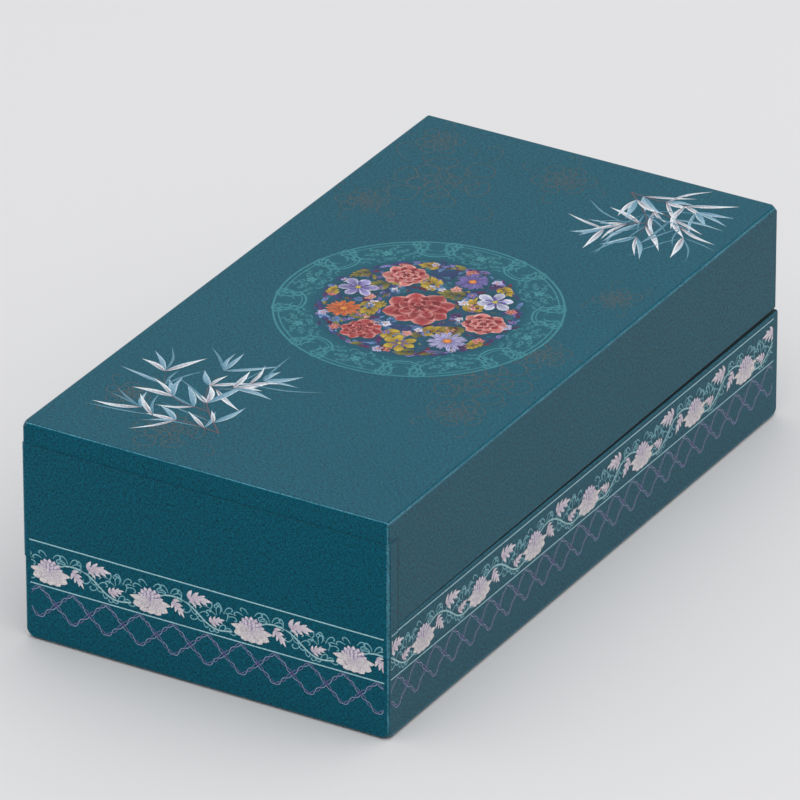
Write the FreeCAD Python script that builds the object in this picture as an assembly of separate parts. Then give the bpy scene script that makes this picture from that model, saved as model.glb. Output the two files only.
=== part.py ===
import FreeCAD, Part
import math
import os
from FreeCAD import Vector

# Hinged presentation box of paper-wrapped board, in millimetres.
# X runs along the length with the paper hinge at the low end, Y runs from front to back,
# Z is up, and the origin is the middle of the underside.

# Overall sizes
box_length = 320.0
box_width = 170.0
base_height = 49.2
lid_height = 48.8

# Sheets and boards
paper = 0.4
lid_wall = 2.5
top_board = 2.5
floor_board = 3.0
neck_board = 2.0
tray_board = 1.6

# Lid against base
lid_step = 0.75            # how far the base stands proud of the lid at the opening end
hinge_gap = 0.2            # between the rims at the hinge
closing_gap = 1.2          # between the rims at the opening end
neck_clearance = 0.5
neck_rise = 13.0           # neck above the base rim
base_wall = lid_wall + lid_step + neck_clearance

# Paper overlaps
turn_down = 9.6            # top sheet over the lid walls
turn_in = 15.0             # lid wrap inside its rim
turn_under = 14.0          # base wrap under the floor
hinge_drop = 11.6          # hinge strip below the base rim
hinge_lap = 7.0            # hinge strip round each vertical corner
sheet_margin = 2.5         # bottom sheet inside the outline

# Roundings
edge_round = 1.3
rim_round = 0.7
lid_corner_soft = 5.5      # extra radius of the lid's softened upper corners
base_corner_soft = 5.5     # extra radius of the base's lower corners
corner_show = 0.15         # how far the softer corners stand off the edge roundings
round_share = 0.8          # most of a thin board's edge that a fillet takes
least_round = 0.05         # smaller fillets are left out
neck_round = 0.8
neck_slope = 45.0          # ends of the long neck boards at the hinge, in degrees

# Magnets
magnet_diameter = 8.0
magnet_thickness = 1.4
magnet_spacing = 96.0
magnet_play = 0.1

# Lift-out tray
tray_height = 40.0
tray_clearance = 1.0
tray_seat = 0.2
divider_drop = 3.0         # dividers below the tray's rim
divider_play = 0.15
cross_dividers = 2

# Derived heights
box_height = base_height + lid_height
lid_rim = base_height + hinge_gap
ceiling = box_height - paper - top_board
board_low = 2 * paper
floor_top = board_low + floor_board
lining_top = floor_top + paper
neck_top = base_height + neck_rise
rim_slope = (closing_gap - hinge_gap) / box_length
margin = 5.0               # how far cutting blocks pass what they cut
side_names = ["front", "end", "back", "hinge"]
lid_soft_corners = ["end", "hinge"]    # corners where these sides begin, seen anticlockwise
base_soft_corners = side_names


class Plan:
    """Four-sided outline seen from above, alike on both sides of its long middle line."""

    def __init__(self, hinge_x, end_x, hinge_half, end_half):
        self.hinge_x = hinge_x
        self.end_x = end_x
        self.hinge_half = hinge_half
        self.end_half = end_half

    def inset(self, distance):
        return Plan(self.hinge_x + distance, self.end_x - distance,
                    self.hinge_half - distance, self.end_half - distance)

    def corners(self):
        return [(self.hinge_x, -self.hinge_half), (self.end_x, -self.end_half),
                (self.end_x, self.end_half), (self.hinge_x, self.hinge_half)]


base_plan = Plan(-box_length / 2 + paper, box_length / 2,
                 box_width / 2 - paper, box_width / 2 - paper)
lid_plan = Plan(base_plan.hinge_x, base_plan.end_x - lid_step,
                base_plan.hinge_half, base_plan.end_half - lid_step)
neck_plan = base_plan.inset(paper + base_wall + paper)
tray_plan = neck_plan.inset(neck_board + tray_clearance)


def grown(plan, distance, soft_corners, further):
    """Outline of a plan moved outward, and further still at its crisp corners."""
    corners = []
    for name, (x, y) in zip(side_names, plan.corners()):
        out = distance if name in soft_corners else distance + further
        corners.append((x + math.copysign(out, x), y + math.copysign(out, y)))
    return corners


def prism(outline, low, high, slope=0.0):
    """Solid over an outline that runs anticlockwise. Its lower face climbs by slope along X."""
    lower = [Vector(x, y, low + slope * (x + box_length / 2)) for x, y in outline]
    upper = [Vector(x, y, high) for x, y in outline]
    rings = [lower[::-1], upper]
    for here in range(len(outline)):
        after = (here + 1) % len(outline)
        rings.append([lower[here], lower[after], upper[after], upper[here]])
    faces = [Part.Face(Part.makePolygon(ring + ring[:1])) for ring in rings]
    return Part.Solid(Part.Shell(faces))


def slab(plan, low, high, slope=0.0):
    return prism(plan.corners(), low, high, slope)


def box(low_x, high_x, low_y, high_y, low_z, high_z):
    return Part.makeBox(high_x - low_x, high_y - low_y, high_z - low_z, Vector(low_x, low_y, low_z))


def upright(edge):
    ends = [vertex.Point for vertex in edge.Vertexes]
    return len(ends) == 2 and abs(ends[0].z - ends[1].z) > 2 * edge_round + rim_round


def at_end(solid, high_end):
    """Edges of the face that closes a block at its high or low end."""
    sign = 1 if high_end else -1
    face = max(solid.Faces, key=lambda item: sign * item.CenterOfMass.z)
    return face.Edges


def rounded_block(plan, low, high, high_closed, outside, slope=0.0):
    """Board-box form with rounded edges, a softer closed end and a finer rim.

    outside is how far the form lies inside the outer paper's face.
    """
    radius = edge_round - outside
    rim_radius = min(rim_round, round_share * edge_round) - outside
    solid = slab(plan, low, high, slope)
    if radius > least_round:
        edges = [edge for edge in solid.Edges if upright(edge)] + at_end(solid, high_closed)
        solid = solid.makeFillet(radius, edges)
    if rim_radius > least_round:
        solid = solid.makeFillet(rim_radius, at_end(solid, not high_closed))
    return solid.common(corner_softener(plan, low, high, high_closed, radius))


def corner_softener(plan, low, high, high_closed, radius):
    """Larger rounded block that only reaches into the soft corners of the closed end."""
    extra = lid_corner_soft if high_closed else base_corner_soft
    soft_corners = lid_soft_corners if high_closed else base_soft_corners
    grow = extra * (1 - 1 / math.sqrt(2)) + corner_show
    outline = grown(plan, grow, soft_corners, extra)
    reach = high - low
    if high_closed:
        solid = prism(outline, low - reach, high + grow)
    else:
        solid = prism(outline, low - grow, high + reach)
    edges = [edge for edge in solid.Edges if upright(edge)] + at_end(solid, high_closed)
    return solid.makeFillet(radius + extra, edges)


def mitred_wall(form, outer, inner, side, low, high):
    """One of four walls between two plans, mitred at its ends and rounded as the form is."""
    after = (side + 1) % len(side_names)
    outline = [outer.corners()[side], outer.corners()[after],
               inner.corners()[after], inner.corners()[side]]
    return form.common(prism(outline, low, high))


def discs(start, radius, thickness):
    """Pair of discs on both sides of the middle, half way up the neck, from start along X."""
    height = base_height + (closing_gap + neck_rise) / 2
    pair = []
    for side in (-1, 1):
        centre = Vector(start, side * magnet_spacing / 2, height)
        pair.append(Part.makeCylinder(radius, thickness, centre, Vector(1, 0, 0)))
    return Part.makeCompound(pair)


def magnets(face_x, inward):
    """Magnets let into a board from the face that meets the other half."""
    start = face_x if inward > 0 else face_x - magnet_thickness
    return discs(start, magnet_diameter / 2, magnet_thickness)


def magnet_pockets(face_x, inward):
    depth = magnet_thickness + magnet_play
    start = face_x - margin if inward > 0 else face_x - depth
    return discs(start, magnet_diameter / 2 + magnet_play, depth + margin)


def hinge_leaf(plan, outer, low, high, slope=0.0):
    """Strip of paper on the hinge end, folded a little way round both vertical corners."""
    strip = slab(plan.inset(-paper), low, high, slope)
    strip = strip.makeFillet(edge_round + paper, [edge for edge in strip.Edges if upright(edge)])
    reach = box(-box_length, -box_length / 2 + hinge_lap, -box_width, box_width, 0, box_height)
    return strip.common(reach).cut(outer)


def lid_parts():
    outer = rounded_block(lid_plan, lid_rim, box_height, True, 0.0, rim_slope)
    core_plan = lid_plan.inset(paper)
    core = rounded_block(core_plan, lid_rim + paper, box_height - paper, True, paper, rim_slope)
    cavity_plan = core_plan.inset(lid_wall)
    lined_plan = cavity_plan.inset(paper)

    parts = {"lid_top_board": core.common(slab(core_plan.inset(-margin), ceiling, box_height))}
    for side, name in enumerate(side_names):
        wall = mitred_wall(core, core_plan, cavity_plan, side, lid_rim, ceiling)
        if name == "end":
            wall = wall.cut(magnet_pockets(cavity_plan.end_x, 1))
        parts["lid_" + name + "_wall"] = wall

    skin = outer.cut(core)
    seam = box_height - turn_down
    above = slab(lid_plan.inset(-margin), seam, box_height + margin)
    parts["lid_top_sheet"] = skin.common(above)
    turned = slab(cavity_plan, lid_rim + paper, lid_rim + turn_in, rim_slope)
    mouth = slab(lined_plan, lid_rim - margin, lid_rim + turn_in + margin)
    parts["lid_side_wrap"] = skin.cut(above).fuse(turned).cut(mouth)

    lining = slab(cavity_plan, lid_rim + turn_in, ceiling)
    parts["lid_lining"] = lining.cut(slab(lined_plan, lid_rim, ceiling - paper))
    parts["lid_magnets"] = magnets(cavity_plan.end_x, 1)

    parts["hinge_leaf_lid"] = hinge_leaf(lid_plan, outer, lid_rim, seam, rim_slope)
    return parts


def base_parts():
    outer = rounded_block(base_plan, paper, base_height, False, 0.0)
    core_plan = base_plan.inset(paper)
    core = rounded_block(core_plan, board_low, base_height - paper, False, paper)
    cavity_plan = core_plan.inset(base_wall)

    parts = {"base_floor_board": core.common(slab(core_plan.inset(-margin), 0, floor_top))}
    for side, name in enumerate(side_names):
        parts["base_" + name + "_wall"] = mitred_wall(core, core_plan, cavity_plan, side,
                                                      floor_top, base_height)

    turned = slab(cavity_plan, floor_top, base_height)
    mouth = slab(neck_plan, floor_top, base_height + margin)
    window = slab(base_plan.inset(turn_under), -margin, board_low)
    parts["base_side_wrap"] = outer.cut(core).fuse(turned).cut(mouth).cut(window)
    parts["base_bottom_sheet"] = slab(base_plan.inset(sheet_margin), 0, paper)

    parts["hinge_leaf_base"] = hinge_leaf(base_plan, outer, base_height - hinge_drop, base_height)
    return parts


def neck_parts():
    inner = neck_plan.inset(neck_board)
    form = slab(neck_plan, floor_top, neck_top)
    form = form.makeFillet(min(neck_round, round_share * neck_board), at_end(form, True))
    slope_end = neck_plan.hinge_x + neck_board + neck_rise / math.tan(math.radians(neck_slope))
    wedge = Part.Face(Part.makePolygon([
        Vector(neck_plan.hinge_x - margin, -box_width, base_height),
        Vector(neck_plan.hinge_x + neck_board, -box_width, base_height),
        Vector(slope_end, -box_width, neck_top),
        Vector(slope_end, -box_width, neck_top + margin),
        Vector(neck_plan.hinge_x - margin, -box_width, neck_top + margin),
        Vector(neck_plan.hinge_x - margin, -box_width, base_height)]))
    form = form.cut(wedge.extrude(Vector(0, 2 * box_width, 0)))

    parts = {}
    for side, name in enumerate(side_names):
        board = mitred_wall(form, neck_plan, inner, side, floor_top, neck_top)
        if name == "end":
            board = board.cut(magnet_pockets(neck_plan.end_x, -1))
        parts["neck_" + name] = board
    parts["neck_magnets"] = magnets(neck_plan.end_x, -1)
    parts["base_floor_lining"] = slab(inner, floor_top, lining_top)
    return parts


def slots(places, along_x, low, high):
    """Cutting blocks for the halving joints of the tray's dividers."""
    half = tray_board / 2 + divider_play
    blocks = []
    for place in places:
        if along_x:
            blocks.append(box(place - half, place + half, -box_width, box_width, low, high))
        else:
            blocks.append(box(-box_length, box_length, place - half, place + half, low, high))
    return Part.makeCompound(blocks)


def tray_parts():
    low = lining_top + tray_seat
    deck = low + tray_board
    rim = low + tray_height
    inner = tray_plan.inset(tray_board)
    form = slab(tray_plan, low, rim)
    form = form.makeFillet(edge_round, [edge for edge in form.Edges if upright(edge)])

    parts = {"tray_floor": form.common(slab(tray_plan, low, deck))}
    for side, name in enumerate(side_names):
        parts["tray_" + name + "_wall"] = mitred_wall(form, tray_plan, inner, side, deck, rim)

    half = tray_board / 2
    top = rim - divider_drop
    middle = (deck + top) / 2
    span = inner.end_x - inner.hinge_x
    places = [inner.hinge_x + span * (number + 1) / (cross_dividers + 1)
              for number in range(cross_dividers)]
    long_board = box(inner.hinge_x, inner.end_x, -half, half, deck, top)
    parts["tray_long_divider"] = long_board.cut(slots(places, True, middle, top + margin))
    for number, place in enumerate(places):
        board = box(place - half, place + half, -inner.hinge_half, inner.hinge_half, deck, top)
        board = board.cut(slots([0.0], False, deck - margin, middle + divider_play))
        parts["tray_cross_divider_%d" % (number + 1)] = board
    return parts


def export(parts):
    for name, shape in parts.items():
        solids = shape.Solids
        shape = solids[0] if len(solids) == 1 else Part.makeCompound(solids)
        shape.exportStep("parts/" + name + ".step")
        print("%-22s solids %d  volume %.0f  valid %s" % (name, len(solids), shape.Volume,
                                                          shape.isValid()))


os.makedirs("parts", exist_ok=True)
export(lid_parts())
export(base_parts())
export(neck_parts())
export(tray_parts())
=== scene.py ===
from functools import partialmethod
from math import atan2, cos, pi, radians, sin, sqrt
from random import Random

import bmesh
import bpy
from mathutils import Matrix, Vector


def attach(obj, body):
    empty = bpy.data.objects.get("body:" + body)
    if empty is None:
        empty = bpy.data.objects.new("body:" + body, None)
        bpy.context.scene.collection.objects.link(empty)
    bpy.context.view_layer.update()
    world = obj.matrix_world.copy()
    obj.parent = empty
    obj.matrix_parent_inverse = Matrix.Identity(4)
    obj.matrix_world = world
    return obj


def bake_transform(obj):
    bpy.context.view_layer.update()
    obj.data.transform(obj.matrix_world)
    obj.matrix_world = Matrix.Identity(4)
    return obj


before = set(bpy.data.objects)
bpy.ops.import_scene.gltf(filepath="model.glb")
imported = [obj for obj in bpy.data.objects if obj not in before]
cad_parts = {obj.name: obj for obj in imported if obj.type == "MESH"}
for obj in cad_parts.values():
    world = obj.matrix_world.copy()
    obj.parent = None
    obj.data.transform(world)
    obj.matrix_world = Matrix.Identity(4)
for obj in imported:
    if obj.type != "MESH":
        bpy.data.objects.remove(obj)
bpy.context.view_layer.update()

mm = 0.001
scene = bpy.context.scene
print("frame loaded:", len(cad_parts), "nodes")


# shader helper: sockets that can be added, multiplied and compared

class Wire:
    def __init__(self, recipe, socket):
        self.recipe = recipe
        self.socket = socket

    def maths(self, operation, *others):
        values = dict(enumerate((self,) + others))
        return self.recipe.put("Math", {"operation": operation}, values)

    def __rsub__(self, other):
        return self.recipe.put("Math", {"operation": "SUBTRACT"}, {0: other, 1: self})

    __add__ = __radd__ = partialmethod(maths, "ADD")
    __sub__ = partialmethod(maths, "SUBTRACT")
    __mul__ = partialmethod(maths, "MULTIPLY")
    __gt__ = partialmethod(maths, "GREATER_THAN")
    __lt__ = partialmethod(maths, "LESS_THAN")
    __abs__ = partialmethod(maths, "ABSOLUTE")
    sine = partialmethod(maths, "SINE")
    largest = partialmethod(maths, "MAXIMUM")
    smallest = partialmethod(maths, "MINIMUM")


class Recipe:
    def __init__(self, name):
        self.material = bpy.data.materials.new(name)
        self.material.use_nodes = True
        self.tree = self.material.node_tree
        self.tree.nodes.clear()

    def put(self, kind, settings, inputs, output=0):
        node = self.tree.nodes.new("ShaderNode" + kind)
        for name, value in settings.items():
            setattr(node, name, value)
        for name, value in inputs.items():
            if isinstance(value, Wire):
                self.tree.links.new(value.socket, node.inputs[name])
            else:
                node.inputs[name].default_value = value
        return Wire(self, node.outputs[output])

    def blend(self, factor, first, second, way="MIX"):
        return self.put("Mix", {"data_type": "RGBA", "blend_type": way},
                        {0: factor, 6: first, 7: second}, 2)

    def step(self, value, low, high):  # 0 below low, 1 above high, smooth between
        return self.put("MapRange", {"interpolation_type": "SMOOTHSTEP"},
                        {0: value, 1: low, 2: high, 3: 0.0, 4: 1.0})

    def noise(self, place, scale, detail=2.0, roughness=0.5):
        return self.put("TexNoise", {}, {"Vector": self.place(*place), "Scale": scale,
                                         "Detail": detail, "Roughness": roughness})

    def place(self, x, y, z):
        return self.put("CombineXYZ", {}, {0: x, 1: y, 2: z})

    def bump(self, height, depth, strength=1.0):  # depth in millimetres
        return self.put("Bump", {}, {"Height": height, "Distance": depth * mm,
                                     "Strength": strength})

    def shade(self, colour, tone):
        return self.blend(1.0, colour, self.place(tone, tone, tone), "MULTIPLY")

    def finish(self, inputs):
        shader = self.put("BsdfPrincipled", {}, inputs)
        out = self.tree.nodes.new("ShaderNodeOutputMaterial")
        self.tree.links.new(shader.socket, out.inputs[0])
        return self.material


def linear(red, green, blue):  # a colour as a screen shows it, 0 to 255, made linear
    def one(value):
        value /= 255
        return value / 12.92 if value <= 0.04045 else ((value + 0.055) / 1.055) ** 2.4
    return (one(red), one(green), one(blue), 1.0)


# paper, board and metal

boxSize = dict(
    end=160.0,  # millimetres from the middle to the ends
    side=85.0,
    top=98.0,
    rim=49.2,  # of the lower half
    leafFoot=37.6,  # the hinge leaves reach from here to leafTop
    leafTop=88.4,
)
paperFinish = dict(
    colour=linear(0, 81, 99),
    threadPitch=0.82,  # millimetres between the embossed threads
    threadDepth=0.035,
    roughness=0.52,
    gloss=0.02,
    veil=0.33,  # sheen of the coated linen
    variation=1.0,
)
inkFinish = dict(paperFinish, variation=0.5)
ivoryFinish = dict(colour=linear(226, 218, 200), threadPitch=0.7, threadDepth=0.02,
                   roughness=0.7, gloss=0.3, veil=0.0, variation=0.12)
darkFinish = dict(colour=linear(10, 58, 72), threadPitch=0.82, threadDepth=0.03,
                  roughness=0.6, gloss=0.2, veil=0.0, variation=0.4)
weave = dict(
    wander=0.9,  # millimetres a thread strays from its line
    wanderScale=0.35,
    crossing=0.35,  # softness of the change from one thread to the other
    hollow=0.9,
    slubAlong=0.7,  # slubs are long along their thread and short across it
    slubAcross=2.5,
    slubLeast=0.6,
    slubSpan=0.8,
)
tones = dict(  # how far each thing changes the shade of the paper
    thread=0.24,
    slub=1.9,
    mottle=1.3,
    mottleScale=2.3,
    cloud=0.12,
    cloudScale=0.02,
    matting=0.12,
    longSideShade=0.15,  # painted shade: the long sides are made darker, as less light falls on them
    sideFrom=(0.6, 0.95),
    veilSpread=0.4,
    squareOn=0.7,  # least share of its normal along an axis for a face to lie across it
)
# painted highlights where the rounded folds, corners, rim and foot of the box catch the light,
# mixed with rubbed wear
highlightAndWear = dict(  # strength, fading from and to this far off in millimetres, raggedness
    paintedLightAndWear=linear(100, 156, 174),
    endFold=(0.85, 0.15, 0.45, 0.2),
    sideFold=(0.75, 0.2, 0.8, 0.3),
    corner=(0.7, 1.03, 1.12, 0.25),
    rim=(0.3, 0.8, 1.15, 0.0),
    foot=(0.3, 0.2, 0.5, 0.0),
    endFoldRise=0.35,  # the painted highlight line, rubbed most, above and below the middle of the fold
    sideFoldDrop=0.55,
    foldReach=1.6,
    lidEnd=159.6,
    lidSide=84.2,  # half width of the lid in the middle of its length
    lidTaper=0.00234,
    leafStep=0.5,
    leafEdge=-152.5,
    footHeight=1.9,
    patchScale=0.11,
    fineScale=0.9,
)
# painted shadow in the parting line between the lid and the lower half, and at the foot
seamShadow = dict(
    colour=linear(4, 22, 28),
    cover=0.9,
    height=49.45,
    reach=(0.24, 0.42),
    fading=(-148.0, -136.0),  # it closes up between these towards the hinge
    footReach=(0.8, 1.3),
    footCover=0.6,
)


def facePlane(recipe):  # millimetres across and up the face that a point is on
    place = recipe.put("TexCoord", {}, {}, "Object")
    facing = recipe.put("TexCoord", {}, {}, "Normal")
    parts = [recipe.put("SeparateXYZ", {}, {0: place}, index) * (1 / mm) for index in range(3)]
    sides = [abs(recipe.put("SeparateXYZ", {}, {0: facing}, index)) for index in range(3)]
    onEnd = sides[0] > tones["squareOn"]
    onTop = sides[2] > tones["squareOn"]
    across = parts[0] + onEnd * (parts[1] - parts[0])
    up = parts[2] + onTop * (parts[1] - parts[2])
    return across, up, parts, sides


def linen(recipe, across, up, pitch):  # height of an embossed plain weave, 0 to 1, and its slubs
    along, short = weave["slubAlong"], weave["slubAcross"]
    least, span = weave["slubLeast"], weave["slubSpan"]
    strayAcross = recipe.noise((across, up, 0.0), weave["wanderScale"], 1.0) - 0.5
    strayUp = recipe.noise((across + 40.0, up, 3.0), weave["wanderScale"], 1.0) - 0.5
    turn = pi / pitch
    warp = ((across + strayAcross * weave["wander"]) * turn).sine()
    weft = ((up + strayUp * weave["wander"]) * turn).sine()
    over = recipe.step(warp * weft, -weave["crossing"], weave["crossing"])
    slubAcross = recipe.noise((across * along, up * short, 0.0), 1.0, 2.0)
    slubUp = recipe.noise((across * short, up * along, 9.0), 1.0, 2.0)
    threadUp = (1.0 - warp * warp * weave["hollow"]) * (least + slubUp * span)
    threadAcross = (1.0 - weft * weft * weave["hollow"]) * (least + slubAcross * span)
    height = threadUp * over + threadAcross * (1.0 - over)
    return height, slubAcross + slubUp - 1.0


def highlitAndRubbedNear(recipe, kind, distance, rub):  # full at the edge, gone a little way off
    strength, start, end, ragged = highlightAndWear[kind]
    if ragged:
        end = end + rub * ragged
    return (1.0 - recipe.step(distance, start, end)) * strength


def edgeHighlightsAndRubs(recipe, parts):  # 1 on an edge of the box with a painted highlight and rubbed wear, 0 elsewhere
    fromEnd = boxSize["end"] - abs(parts[0])
    fromFront = boxSize["side"] - abs(parts[1])
    fromTop = boxSize["top"] - parts[2]
    rub = recipe.noise(parts, highlightAndWear["patchScale"], 3.0)
    fine = recipe.noise(parts, highlightAndWear["fineScale"], 2.0)
    # the lid draws in towards its opening end, and its folds are rounded
    lidEnd = highlightAndWear["lidEnd"] - abs(parts[0])
    lidSide = highlightAndWear["lidSide"] - parts[0] * highlightAndWear["lidTaper"] - abs(parts[1])
    # painted highlights along the rounded folds of the lid, where the light catches them, broken
    # up like wear
    endFold = highlitAndRubbedNear(recipe, "endFold", abs(fromTop - lidEnd + highlightAndWear["endFoldRise"]), rub)
    endFold = endFold * (fromTop + lidEnd < highlightAndWear["foldReach"])
    sideFold = highlitAndRubbedNear(recipe, "sideFold", abs(fromTop - lidSide - highlightAndWear["sideFoldDrop"]), rub)
    sideFold = sideFold * (fromTop + lidSide < highlightAndWear["foldReach"])
    # off the hinge leaf the wrap stands back
    leafMiddle = (boxSize["leafTop"] + boxSize["leafFoot"]) / 2
    leafHalf = (boxSize["leafTop"] - boxSize["leafFoot"]) / 2
    inset = (abs(parts[2] - leafMiddle) > leafHalf) * highlightAndWear["leafStep"]
    # painted highlight down the corners, with wear
    corner = highlitAndRubbedNear(recipe, "corner", fromEnd + fromFront - inset, rub)
    # painted highlight where the light grazes the fold at the foot of the long sides
    foot = highlitAndRubbedNear(recipe, "foot", abs(parts[2] - highlightAndWear["footHeight"]), rub)
    foot = foot * (fromEnd > fromFront)
    # painted highlight on the rim of the lower half
    toRim = fromFront.smallest(fromEnd) + abs(boxSize["rim"] - parts[2])
    rim = highlitAndRubbedNear(recipe, "rim", toRim, rub) * (parts[0] > highlightAndWear["leafEdge"])
    highlitAndRubbed = endFold.largest(sideFold).largest(corner).largest(rim).largest(foot)
    return highlitAndRubbed * (0.1 + rub) * (0.6 + fine * 0.8)


def paintedSeamShadow(recipe, parts):  # 1 where shadow is painted: in the parting line and at the foot
    near = 1.0 - recipe.step(abs(parts[2] - seamShadow["height"]), *seamShadow["reach"])
    foot = (1.0 - recipe.step(parts[2], *seamShadow["footReach"])) * seamShadow["footCover"]
    return (near * recipe.step(parts[0], *seamShadow["fading"])).largest(foot)


def makePaper(name, finish, paintedLightAndWear=False, inked=False):
    recipe = Recipe(name)
    across, up, parts, sides = facePlane(recipe)
    colour = finish["colour"]
    if paintedLightAndWear:
        # painted highlights and wear on the edges
        colour = recipe.blend(edgeHighlightsAndRubs(recipe, parts), colour, highlightAndWear["paintedLightAndWear"])
        # painted shadow in the parting line and at the foot
        colour = recipe.blend(paintedSeamShadow(recipe, parts) * seamShadow["cover"], colour, seamShadow["colour"])
    if inked:
        colour = recipe.blend(
            recipe.put("Attribute", {"attribute_name": "ink"}, {}, 3), colour,
            recipe.put("Attribute", {"attribute_name": "ink"}, {}, 0))
    height, slub = linen(recipe, across, up, finish["threadPitch"])
    cloud = recipe.noise(parts, tones["cloudScale"], 3.0)
    mottle = recipe.noise((across, up, 5.0), tones["mottleScale"], 2.0, 0.6)
    variation = finish["variation"]
    tone = (1.0 + (height - 0.6) * tones["thread"] * variation + slub * tones["slub"] * variation
            + (mottle - 0.5) * tones["mottle"] * variation + (cloud - 0.5) * tones["cloud"])
    if paintedLightAndWear:
        # painted shade on the long sides
        tone = tone - recipe.step(sides[1], *tones["sideFrom"]) * tones["longSideShade"]
    shade = recipe.shade(colour, tone)
    bump = recipe.bump(height, finish["threadDepth"])
    return recipe.finish({
        "Base Color": shade, "Roughness": finish["roughness"] + (0.5 - height) * tones["matting"],
        "Specular IOR Level": finish["gloss"], "Normal": bump, "Sheen Weight": finish["veil"],
        "Sheen Roughness": tones["veilSpread"]})


boardFinish = dict(
    colour=linear(150, 144, 134),
    darkest=0.82,
    fibre=0.36,
    fleck=0.18,
    fleckFrom=(0.62, 0.72),
    fibreDepth=0.05,
    roughness=(0.8, 0.15),  # at the least, and how much the fibres add
)
nickelFinish = dict(
    bright=linear(196, 194, 188),
    dull=linear(160, 158, 154),
    scuffFrom=(0.4, 0.75),
    scuffDepth=0.01,
    roughness=(0.22, 0.25),
)


def makeBoard(name):  # pressed grey board: fibres and flecks, no weave
    recipe = Recipe(name)
    parts = facePlane(recipe)[2]
    fibre = recipe.noise(parts, 1.6, 4.0, 0.7)
    fleck = recipe.step(recipe.noise(parts, 0.9), *boardFinish["fleckFrom"])
    tone = boardFinish["darkest"] + fibre * boardFinish["fibre"] - fleck * boardFinish["fleck"]
    bump = recipe.bump(fibre, boardFinish["fibreDepth"])
    least, added = boardFinish["roughness"]
    return recipe.finish({
        "Base Color": recipe.shade(boardFinish["colour"], tone),
        "Roughness": least + fibre * added, "Specular IOR Level": 0.2, "Normal": bump})


def makeNickel(name):  # plated magnet face, lightly scuffed
    recipe = Recipe(name)
    parts = facePlane(recipe)[2]
    scuff = recipe.noise((parts[0] * 2.5, parts[1] * 0.4, parts[2] * 2.5), 1.0, 4.0, 0.6)
    tint = recipe.blend(recipe.step(scuff, *nickelFinish["scuffFrom"]),
                        nickelFinish["bright"], nickelFinish["dull"])
    bump = recipe.bump(scuff, nickelFinish["scuffDepth"], 0.6)
    least, added = nickelFinish["roughness"]
    return recipe.finish({
        "Base Color": tint, "Metallic": 1.0, "Roughness": least + scuff * added, "Normal": bump})


tealPaper = makePaper("tealLinenPaper", paperFinish, paintedLightAndWear=True)
printInk = makePaper("printedInk", inkFinish, paintedLightAndWear=True, inked=True)
ivoryPaper = makePaper("ivoryPaper", ivoryFinish)
darkPaper = makePaper("darkTealPaper", darkFinish)
greyBoard = makeBoard("greyBoard")
nickel = makeNickel("nickelPlate")

finishes = (
    (tealPaper, ("lid_top_sheet", "lid_side_wrap", "base_side_wrap", "hinge_leaf_")),
    (darkPaper, ("base_bottom_sheet", "neck_front", "neck_back", "neck_end", "neck_hinge")),
    (ivoryPaper, ("lid_lining", "base_floor_lining", "tray_")),
)
for name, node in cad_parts.items():
    finish = nickel if name.endswith("magnets") else greyBoard
    for paper, starts in finishes:
        if name.startswith(starts):
            finish = paper
    node.data.materials.clear()
    node.data.materials.append(finish)
print("paper and board finished")


# ink shapes: flat strips bent along smooth lines

def mix(first, second, share):
    return tuple(a + (b - a) * share for a, b in zip(first, second))


def ink(red, green, blue, cover=1.0):
    return linear(red, green, blue)[:3] + (cover,)


def pen(core, rim):  # root, tip and rim of a line of one ink
    return (core, core, rim)


def alongLine(points, share):  # place and direction on a smooth line through the points
    spans = len(points) - 1
    spot = min(share * spans, spans - 1e-6)
    index = int(spot)
    t = spot - index
    b, c = points[index], points[index + 1]
    a = points[index - 1] if index > 0 else b * 2 - c
    d = points[index + 2] if index + 2 <= spans else c * 2 - b
    place = (b * 2 + (c - a) * t + (a * 2 - b * 5 + c * 4 - d) * t * t
             + (b * 3 - a - c * 3 + d) * t * t * t) * 0.5
    way = ((c - a) + (a * 2 - b * 5 + c * 4 - d) * 2 * t
           + (b * 3 - a - c * 3 + d) * 3 * t * t) * 0.5
    return place, way.normalized() if way.length > 1e-9 else (c - b).normalized()


def even(t):
    return 1.0


def taper(t):
    return (1.0 - t) ** 0.6


def leafForm(t):
    return sin(pi * t ** 0.8) ** 0.85


def petalForm(t):
    return sin(pi * min(1.0, t) ** 1.5) ** 0.7


def curlForm(t):  # swells in the middle and ends in a drop
    return 0.55 + 0.5 * sin(pi * t) + 2.7 * max(0.0, t - 0.8)


def bladeForm(t):
    return sin(pi * t ** 0.72) ** 1.25


def addMesh(name, bm, material):
    mesh = bpy.data.meshes.new(name)
    bm.to_mesh(mesh)
    bm.free()
    mesh.materials.append(material)
    piece = bpy.data.objects.new(name, mesh)
    scene.collection.objects.link(piece)
    return piece


def makeGrid(bm, columns, rows):  # points of a square from -1 to 1, to be bent
    return bmesh.ops.create_grid(bm, x_segments=columns, y_segments=rows, size=1.0)["verts"]


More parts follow.
